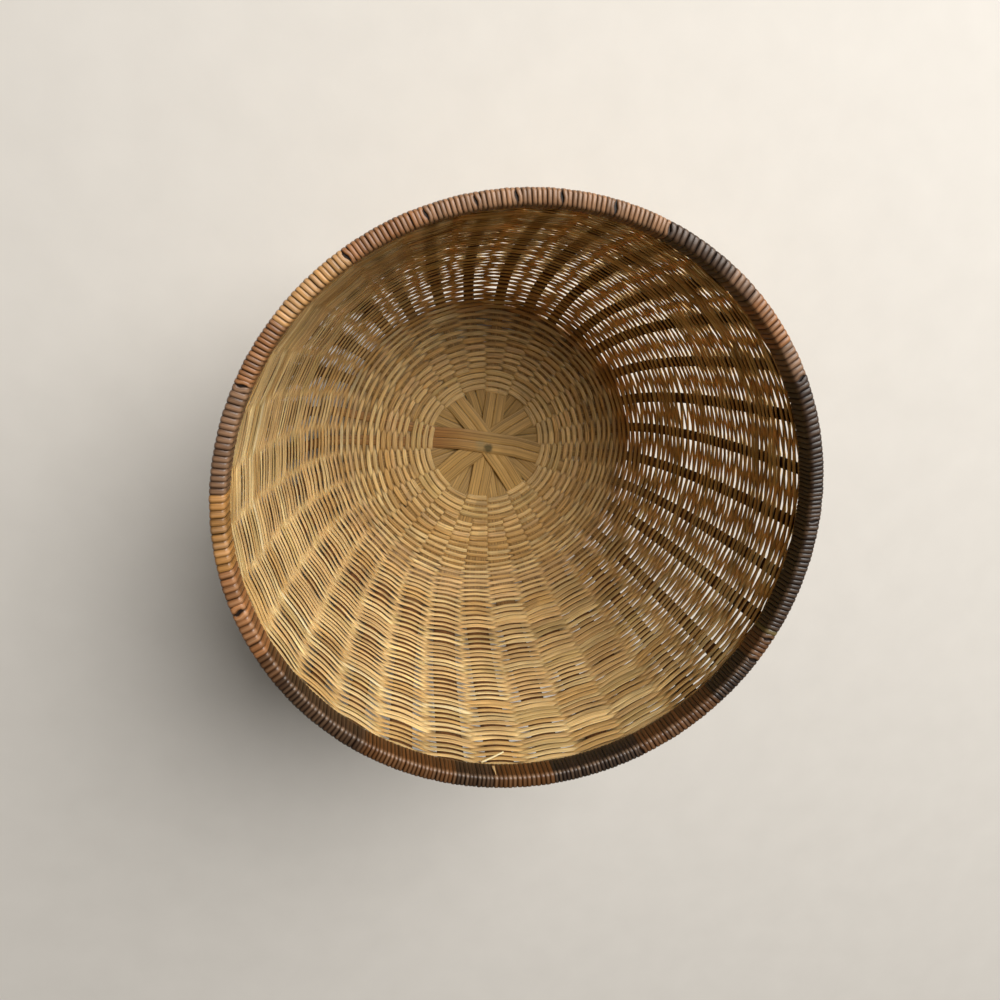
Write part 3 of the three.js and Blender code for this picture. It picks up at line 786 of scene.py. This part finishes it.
floor_rows = int(np.searchsorted(BOWL_ROWS, FLOOR_EDGE)) // 2 * 2
edge_rows = row_between("floor_edge_weave", "corner_weave")
corner_rows = row_between("corner_weave", "lower_wall_weave")
middle_rows = row_between("lower_wall_weave", "upper_wall_weave")
BANDS = [
    ("floor_weavers", "floor_weave", 0, floor_rows, 12),
    ("floor_edge_weavers", "floor_edge_weave", floor_rows, edge_rows, 8),
    ("corner_weavers", "corner_weave", edge_rows, corner_rows, 8),
    ("lower_wall_weavers", "lower_wall_weave", corner_rows, middle_rows, 8),
    ("upper_wall_weavers", "upper_wall_weave", middle_rows, len(BOWL_ROWS) - 1, 8),
]
for name, solid, low_row, high_row, steps in BANDS:
    weavers = Strands(WEAVER_SECTION)
    for odd in (0, 1):
        row_from = low_row
        if low_row == 0:
            weave(weavers, bowl, BOWL_ROWS, (0, ROWS_OVER_ARMS), ARMS, odd, SPLINT_WIDTH, steps, FLATNESS)
            row_from = ROWS_OVER_ARMS
        weave(weavers, bowl, BOWL_ROWS, (row_from, high_row), STAKES, odd, STAKE_WIDTH, steps, FLATNESS)
    weavers.piece(name, CORE, "weave", solid)
    print(name, "rows", low_row, "to", high_row, "in", weavers.strands, "lengths")

# %% [markdown]
# The pedestal is a short woven collar of the same cane on stakes of its own, pushed up into the edge
# of the floor. Its weavers are seen from outside, so the same rules draw them.

# %% The pedestal
PEDESTAL_PITCH = 2.2 * MM
PEDESTAL_ROWS = np.arange(FOOT_HEM - MM, PEDESTAL_TOP, PEDESTAL_PITCH)
PEDESTAL_FLATNESS = ([0, 1], [0.62, 0.62])
pedestal_weavers = Strands(WEAVER_SECTION)
for odd in (0, 1):
    weave(pedestal_weavers, pedestal, PEDESTAL_ROWS, (0, len(PEDESTAL_ROWS) - 1), STAKES, odd,
          STAKE_WIDTH, 8, PEDESTAL_FLATNESS)
pedestal_weavers.piece("pedestal_weavers", CORE, "weave", "foot_weave")

for number, angle in enumerate(STAKE_ANGLES, 1):
    height = np.linspace(FOOT_HOOP_BOTTOM, PEDESTAL_TOP, 12)
    radial = outward_at(np.full(len(height), angle))
    centre = pedestal(height)[0][:, None] * radial + height[:, None] * UP
    pedestal_stake = Strands(SPLINT_SECTION)
    pedestal_stake.add(centre, across_directions(centre, radial), radial, STAKE_WIDTH / 2,
                       SPLINT_THICKNESS / 2, STAKE_TINT * random.uniform(0.85, 1.15))
    pedestal_stake.piece(f"pedestal_stake_{number:02d}", SPLINT, "splint", f"foot_stake_{number:02d}")
print("Pedestal rows:", len(PEDESTAL_ROWS))


# %% [markdown]
# Hoops are rods and flat strips bent round and shaved. They hardly show between the turns of the
# binding, but they close the gaps with a dark brown edge as on the real rim.

# %% Hoops, cap strip and collar
RING_STEPS = 192
HOOP_SLACK = 0.15 * MM  # how much thinner a hoop is on each face than the room it has
STAKE_ROOM = 0.6 * MM  # from the middle of the stakes to the hoop on either side of them


def ring(name, radius, height, half_width, half_thickness, section, tint, solid, wobble=0.1 * MM):
    angle = np.linspace(0, 2 * math.pi, RING_STEPS + 1)[:-1]
    wander = wobble * np.sin(3 * angle + radius / MM)
    radial = outward_at(angle)
    up = np.tile(UP, (len(angle), 1))
    centre = (radius + wander)[:, None] * radial + height * up
    hoop = Strands(section)
    hoop.add(centre, up, radial, half_width, half_thickness, tint, closed=True)
    return hoop.piece(name, ROD, "hoop", solid)


def hoop_pair(prefix, outside, width, low, high):
    """The hoops inside and outside a ring of stakes, each as thick as the binding leaves room for."""
    middle, half = (low + high) / 2, (high - low) / 2
    stakes = outside - STAKE_INSET
    faces = {"inner": (outside - width + BINDING_THICKNESS, stakes - STAKE_ROOM),
             "outer": (stakes + STAKE_ROOM, outside - BINDING_THICKNESS)}
    for side, (inner, outer) in faces.items():
        ring(f"{prefix}_{side}_rod", (inner + outer) / 2, middle, half, (outer - inner) / 2 - HOOP_SLACK,
             HOOP_SECTION, linear("#5A3820"), f"{prefix}_{side}_hoop")


hoop_pair("rim", RIM_OUTSIDE, RIM_WIDTH, HOOP_BOTTOM, HOOP_TOP)
hoop_pair("foot", FOOT_OUTSIDE, FOOT_WIDTH, FOOT_HOOP_BOTTOM, FOOT_HOOP_TOP)
cap_low, cap_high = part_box("rim_cap_strip")
cap_inside, cap_outside = RIM_OUTSIDE - RIM_WIDTH + BINDING_THICKNESS, RIM_OUTSIDE - BINDING_THICKNESS
ring("rim_cap", (cap_inside + cap_outside) / 2, (cap_low.z + cap_high.z) / 2, (cap_high.z - cap_low.z) / 2,
     (cap_outside - cap_inside) / 2 - HOOP_SLACK, HOOP_SECTION, linear("#1C0F07"), "rim_cap_strip")
collar_low, collar_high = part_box("foot_collar")
collar_half = (collar_high.z - collar_low.z) / 2
ring("collar_rod", collar_high.x - collar_half, (collar_low.z + collar_high.z) / 2, collar_half,
     collar_half, ROUND_SECTION, linear("#A47745"), "foot_collar", wobble=0.0)
print("Hoops, cap and collar are in place")

# %% [markdown]
# The binding is one strand wound round and round the hoops, about three millimetres to a turn. It
# was made from many lengths of skin, dyed and undyed, and each length is a helix of its own here.
# In a few places two turns are drawn aside on top, which leaves a small dark slot where the strand
# that holds the cap was passed through.

# %% One length of binding
LOOP_STEPS = 28
SLOT_DEGREES = (8, 37.5, 76.5, 86.5, 96.5, 104.5, 111, 120, 135, 163.5, 207, 305.5, 336, 341, 368)
SLOT_ANGLES = [math.radians(degrees) for degrees in SLOT_DEGREES]
SLOT_WIDTH = 0.42  # how far the turns on either side of a slot are drawn aside, in turns
SLOT_LENGTH, SLOT_LEAN = 0.17, 0.12  # across the top, as shares of the binding's width
LOOP_POWER = 0.42  # a loop of the strand is nearly a rectangle round the hoops


def binding_loop(inside, outside, hem, crown):
    """Radius and height of the strand's middle at each step of one turn, starting at the hem."""
    half = (outside - inside - BINDING_THICKNESS) / 2
    middle = (inside + outside) / 2
    top = math.copysign(1, crown - hem)
    tall = abs(crown - hem) - BINDING_THICKNESS
    angle = np.linspace(0, 2 * math.pi, LOOP_STEPS + 1)[:-1] - math.pi / 2
    across = -signed_power(np.cos(angle), LOOP_POWER)
    climb = signed_power(np.sin(angle), LOOP_POWER)
    return middle + half * across, hem + top * (BINDING_THICKNESS / 2 + tall * (climb + 1) / 2)


def facing_out(radius, height, middle):
    """The directions out of the strand's face, as (outwards, upwards), away from the loop's middle."""
    flat = np.column_stack([radius, height])
    tangent = np.gradient(flat, axis=0)
    tangent /= np.linalg.norm(tangent, axis=1)[:, None]
    normal = np.column_stack([tangent[:, 1], -tangent[:, 0]])
    away = np.sign(np.sum(normal * (flat - middle), axis=1))
    return normal * np.where(away == 0, 1, away)[:, None]


def binding_look(tint, from_inside, on_top, whole, turns):
    """How much paler each turn is painted on top, partly wear and partly painted highlight, and its colour,
    a little lighter or darker than its neighbours and painted darker towards the grooves as painted shade.
    """
    # Paler at the inner edge of each turn's top and along the middle of its top: wear and painted
    # highlight.
    edge = np.exp(-((from_inside - 0.7 * MM) / (0.8 * MM)) ** 2) * on_top
    wear_and_highlight_strength = 0.12 + 1.2 * tint[1]  # the pale lengths get more wear and painted highlight than the dyed ones
    middle_of_strand = np.clip(1 - np.abs(DOMED_SECTION[:, 0]) * 1.4, 0, 1)
    wear_and_highlight = (0.22 * edge)[:, None] + (wear_and_highlight_strength * on_top)[:, None] * middle_of_strand
    wear_and_highlight = wear_and_highlight * random.uniform(0.2, 1.0, turns + 1)[whole][:, None]
    own = random.uniform(0.72, 1.25, turns + 1)[whole] * (1 + smooth_noise(len(whole), LOOP_STEPS, 0.08))
    return wear_and_highlight, (tint * own[:, None])[:, None] * BINDING_GROOVE_SHADE[None, :, None]


def binding_length(name, start_angle, end_angle, pitch, shape, tint, solid, slots=()):
    """One length of binding from one angle to another, as a helix round the hoops."""
    inside, outside, hem, crown = shape
    turns = max(1, round((end_angle - start_angle) * outside / pitch))
    per_turn = (end_angle - start_angle) / turns
    samples = turns * LOOP_STEPS + 1
    turn = np.arange(samples) / LOOP_STEPS
    whole = np.floor(turn + 1e-6).astype(int)
    loop_radius, loop_height = binding_loop(inside, outside, hem, crown)
    phase = np.arange(samples) % LOOP_STEPS
    radius, height = loop_radius[phase], loop_height[phase]
    middle = (inside + outside) / 2
    top = math.copysign(1, crown - hem)
    on_top = rise(top * (height - hem) / abs(crown - hem), 0.82, 0.1)
    slant = (radius - middle) / (outside - inside)
    beside = np.zeros(samples)
    for slot in slots:
        if start_angle - 0.3 * per_turn < slot < end_angle + 0.3 * per_turn:
            after = round((slot - start_angle) / per_turn)
            beside += np.select([whole == after - 1, whole == after], [1, -1], 0)
    aside = beside * SLOT_WIDTH * np.exp(-((slant + SLOT_LEAN * beside) / SLOT_LENGTH) ** 2) * on_top
    jitter = smooth_noise(samples, LOOP_STEPS // 2, 0.04)
    radial = outward_at(start_angle + (turn - aside + jitter) * per_turn)
    normal = facing_out(radius, height, [middle, (hem + crown) / 2])
    out = normal[:, :1] * radial + normal[:, 1:] * UP
    lift = np.repeat(random.uniform(-0.22, 0.0, turns + 1), LOOP_STEPS)[:samples] * MM
    centre = radius[:, None] * radial + height[:, None] * UP + lift[:, None] * out
    half_width = radius * per_turn / 2 * (1.02 - 0.5 * np.abs(aside))
    wear_and_highlight, colour = binding_look(tint, radius - inside, on_top, whole, turns)
    strand = Strands(DOMED_SECTION)
    strand.add(centre, across_directions(centre, out), out, half_width, BINDING_THICKNESS / 2, colour, wear_and_highlight)
    return strand.piece(name, SKIN, "binding", solid)


# %% [markdown]
# The colours of the lengths round the rim were read off the real one, each with the angle where it
# ends, from the topmost splint of the star anticlockwise. Some lengths were split finer than others,
# so each has its own width of strand.

# %% The bindings
STAR_TURN = math.radians(8.45)  # the topmost splint against the picture's horizontal
NEAR_BLACK, DARK, RED_BROWN, BROWN = "#261C17", "#3A281A", "#5C3818", "#5C3A1E"
ORANGE, HONEY, GREY_BROWN, LIGHT_BROWN, GOLD = "#98643A", "#BA8444", "#7C5C44", "#906848", "#C8965A"
OLIVE = "#6E6434"
FINE, EVEN, WIDE, WIDEST = 2.3 * MM, 2.65 * MM, 3.2 * MM, 3.8 * MM
RIM_START = 8
RIM_LENGTHS = [
    (22, NEAR_BLACK, FINE), (37.5, NEAR_BLACK, WIDE), (45, GREY_BROWN, WIDE), (55.5, ORANGE, WIDE),
    (62, GREY_BROWN, WIDE), (76.5, DARK, WIDE), (96.5, LIGHT_BROWN, FINE), (120, LIGHT_BROWN, FINE),
    (135, ORANGE, FINE), (151, GOLD, EVEN), (163.5, ORANGE, FINE), (183.5, GREY_BROWN, WIDE),
    (198, HONEY, WIDEST), (216, ORANGE, WIDEST), (222, BROWN, WIDE), (244, DARK, EVEN),
    (265, RED_BROWN, FINE), (273, DARK, FINE), (286, RED_BROWN, EVEN), (305.5, NEAR_BLACK, FINE),
    (325, BROWN, EVEN), (336, NEAR_BLACK, FINE), (342.4, BROWN, EVEN), (343.5, OLIVE, EVEN),
    (368, NEAR_BLACK, EVEN),
]
rim_shape = (RIM_OUTSIDE - RIM_WIDTH, RIM_OUTSIDE, RIM_HEM, RIM_TOP)
start_degrees = RIM_START
for number, (end_degrees, colour, pitch) in enumerate(RIM_LENGTHS, 1):
    binding_length(f"rim_binding_{number:02d}", math.radians(start_degrees), math.radians(end_degrees),
                   pitch, rim_shape, linear(colour), "rim_binding", SLOT_ANGLES)
    start_degrees = end_degrees

FOOT_COLOURS = [DARK, BROWN, NEAR_BLACK, ORANGE, BROWN, DARK, LIGHT_BROWN]
foot_shape = (FOOT_OUTSIDE - FOOT_WIDTH, FOOT_OUTSIDE, FOOT_HEM, 0.0)
foot_angles = np.linspace(0, 2 * math.pi, len(FOOT_COLOURS) + 1)
for number, colour in enumerate(FOOT_COLOURS):
    binding_length(f"foot_binding_{number + 1:02d}", foot_angles[number], foot_angles[number + 1],
                   WIDE, foot_shape, linear(colour), "foot_binding")
print("Lengths of binding:", len(RIM_LENGTHS), "on the rim and", len(FOOT_COLOURS), "on the foot")

# %% [markdown]
# One weaver's end came loose just under the rim. It is a short strand that leaves the wall and
# stands a few millimetres into the bowl. Above it a frayed sliver stands up inside the hoops.

# %% The loose end and the sliver
def stray_fibre(name, degrees, inset, height, half_width, tint):
    """A short fibre that starts and ends at the given angles, insets from the stakes and heights."""
    share = np.linspace(0, 1, 14)
    angle = np.radians(np.interp(share, [0, 1], degrees))
    radius = STAKE_RADIUS - np.interp(share, [0, 1], inset)
    radial = outward_at(angle)
    centre = radius[:, None] * radial + np.interp(share, [0, 1], height)[:, None] * UP
    fibre = Strands(WEAVER_SECTION)
    fibre.add(centre, across_directions(centre, -radial), -radial,
              np.interp(share, [0, 1], half_width), 0.3 * MM, linear(tint))
    return fibre.piece(name, CORE, "weave")


stray_fibre("loose_weaver_end", (-89.2, -84.1), (1.6 * MM, 5.5 * MM),
            (HOOP_BOTTOM - 3 * MM, HOOP_BOTTOM - 7.5 * MM), (0.8 * MM, 0.5 * MM), "#F0DCAC")
stray_fibre("frayed_sliver", (-87.0, -86.8), (3.9 * MM, 4.1 * MM),
            (HOOP_BOTTOM + 3.5 * MM, RIM_TOP - 1.5 * MM), (0.9 * MM, 0.2 * MM), "#C8A672")

# %% [markdown]
# The floor is plain and pale. The light is one large soft lamp, high up behind the basket and to its
# right as the camera sees it. It leaves the near side of the bowl bright and the far side in its own
# shade, and a faint warm glow from all round keeps that shade from turning black.

# %% Floor and light
FLOOR_HALF = 4.0
WORLD_COLOUR, WORLD_STRENGTH = (1.0, 0.86, 0.68, 1), 0.021


def area_light(name, azimuth, elevation, distance, size, power, colour):
    lamp = bpy.data.lights.new(name, "AREA")
    lamp.shape = "DISK"
    lamp.size = size
    lamp.energy = power
    lamp.color = colour
    light = new_object(name, lamp)
    a, e = math.radians(azimuth), math.radians(elevation)
    away = Vector((math.cos(a) * math.cos(e), math.sin(a) * math.cos(e), math.sin(e)))
    light.location = Vector((0, 0, RIM_TOP / 2)) + distance * away
    light.rotation_mode = "QUATERNION"
    light.rotation_quaternion = (-away).to_track_quat("-Z", "Y")
    return light


def pale_floor():
    mesh = bpy.data.meshes.new("pale_floor")
    corners = [(-FLOOR_HALF, -FLOOR_HALF, 0), (FLOOR_HALF, -FLOOR_HALF, 0),
               (FLOOR_HALF, FLOOR_HALF, 0), (-FLOOR_HALF, FLOOR_HALF, 0)]
    mesh.from_pydata(corners, [], [(0, 1, 2, 3)])
    floor = new_object("pale_floor", mesh)
    material, tree, surface = new_material("matt_painted_floor")
    place = node(tree, "ShaderNodeTexCoord").outputs["Object"]
    mottle = node(tree, "ShaderNodeTexNoise", {"Vector": place, "Scale": 30.0, "Detail": 4.0})
    tone = node(tree, "ShaderNodeMix", {
        MIX_FACTOR: mottle.outputs["Fac"], MIX_A: (*linear("#D2CEC7"), 1), MIX_B: (*linear("#DAD6CF"), 1),
    }, data_type="RGBA")
    tree.links.new(tone.outputs[MIX_RESULT], surface.inputs["Base Color"])
    surface.inputs["Roughness"].default_value = 0.8
    mesh.materials.append(material)
    return floor


pale_floor()
area_light("key_light", azimuth=60, elevation=47, distance=3.2, size=3.0, power=188,
           colour=(1.0, 0.975, 0.945))
world = bpy.data.worlds.new("studio")
bpy.context.scene.world = world
world.use_nodes = True
world.node_tree.nodes["Background"].inputs["Color"].default_value = WORLD_COLOUR
world.node_tree.nodes["Background"].inputs["Strength"].default_value = WORLD_STRENGTH

# %% [markdown]
# The camera looks down into the bowl as the photograph does. Its place was found by fitting the rim,
# the star and the stakes, and is written as the fit gave it: where the rim's middle lies from the
# camera, in rim radii to the right, down and ahead, and which way the basket's axis points.

# %% The camera
RIM_FROM_CAMERA = Vector((0.1051, 0.0600, 2.4326)) * RIM_OUTSIDE
AXIS_FROM_CAMERA = Vector((-0.150, -0.2785, 1.0)).normalized()
RIM_MIDDLE = Vector((0, 0, RIM_TOP - 4 * MM))
FOCAL_SHARE = 0.751  # focal length over the picture's width
SENSOR = 36.0


def camera_like_the_photograph():
    right = Vector((0, 1, 0)).cross(AXIS_FROM_CAMERA).normalized()
    down = AXIS_FROM_CAMERA.cross(right)
    cos, sin = math.cos(STAR_TURN), math.sin(STAR_TURN)
    x_axis = cos * right + sin * down
    y_axis = sin * right - cos * down
    to_frame = Matrix((x_axis, y_axis, -AXIS_FROM_CAMERA))
    data = bpy.data.cameras.new("camera")
    data.sensor_width = SENSOR
    data.lens = FOCAL_SHARE * SENSOR
    camera = new_object("camera", data)
    directions = [to_frame @ Vector(v) for v in ((1, 0, 0), (0, -1, 0), (0, 0, -1))]
    pose = Matrix(directions).transposed().to_4x4()
    pose.translation = RIM_MIDDLE - to_frame @ RIM_FROM_CAMERA
    camera.matrix_world = pose
    bpy.context.scene.camera = camera
    return camera


camera = camera_like_the_photograph()
print("Camera at", [round(value / MM) for value in camera.matrix_world.translation], "mm")
bpy.context.scene.view_settings.view_transform = "Standard"
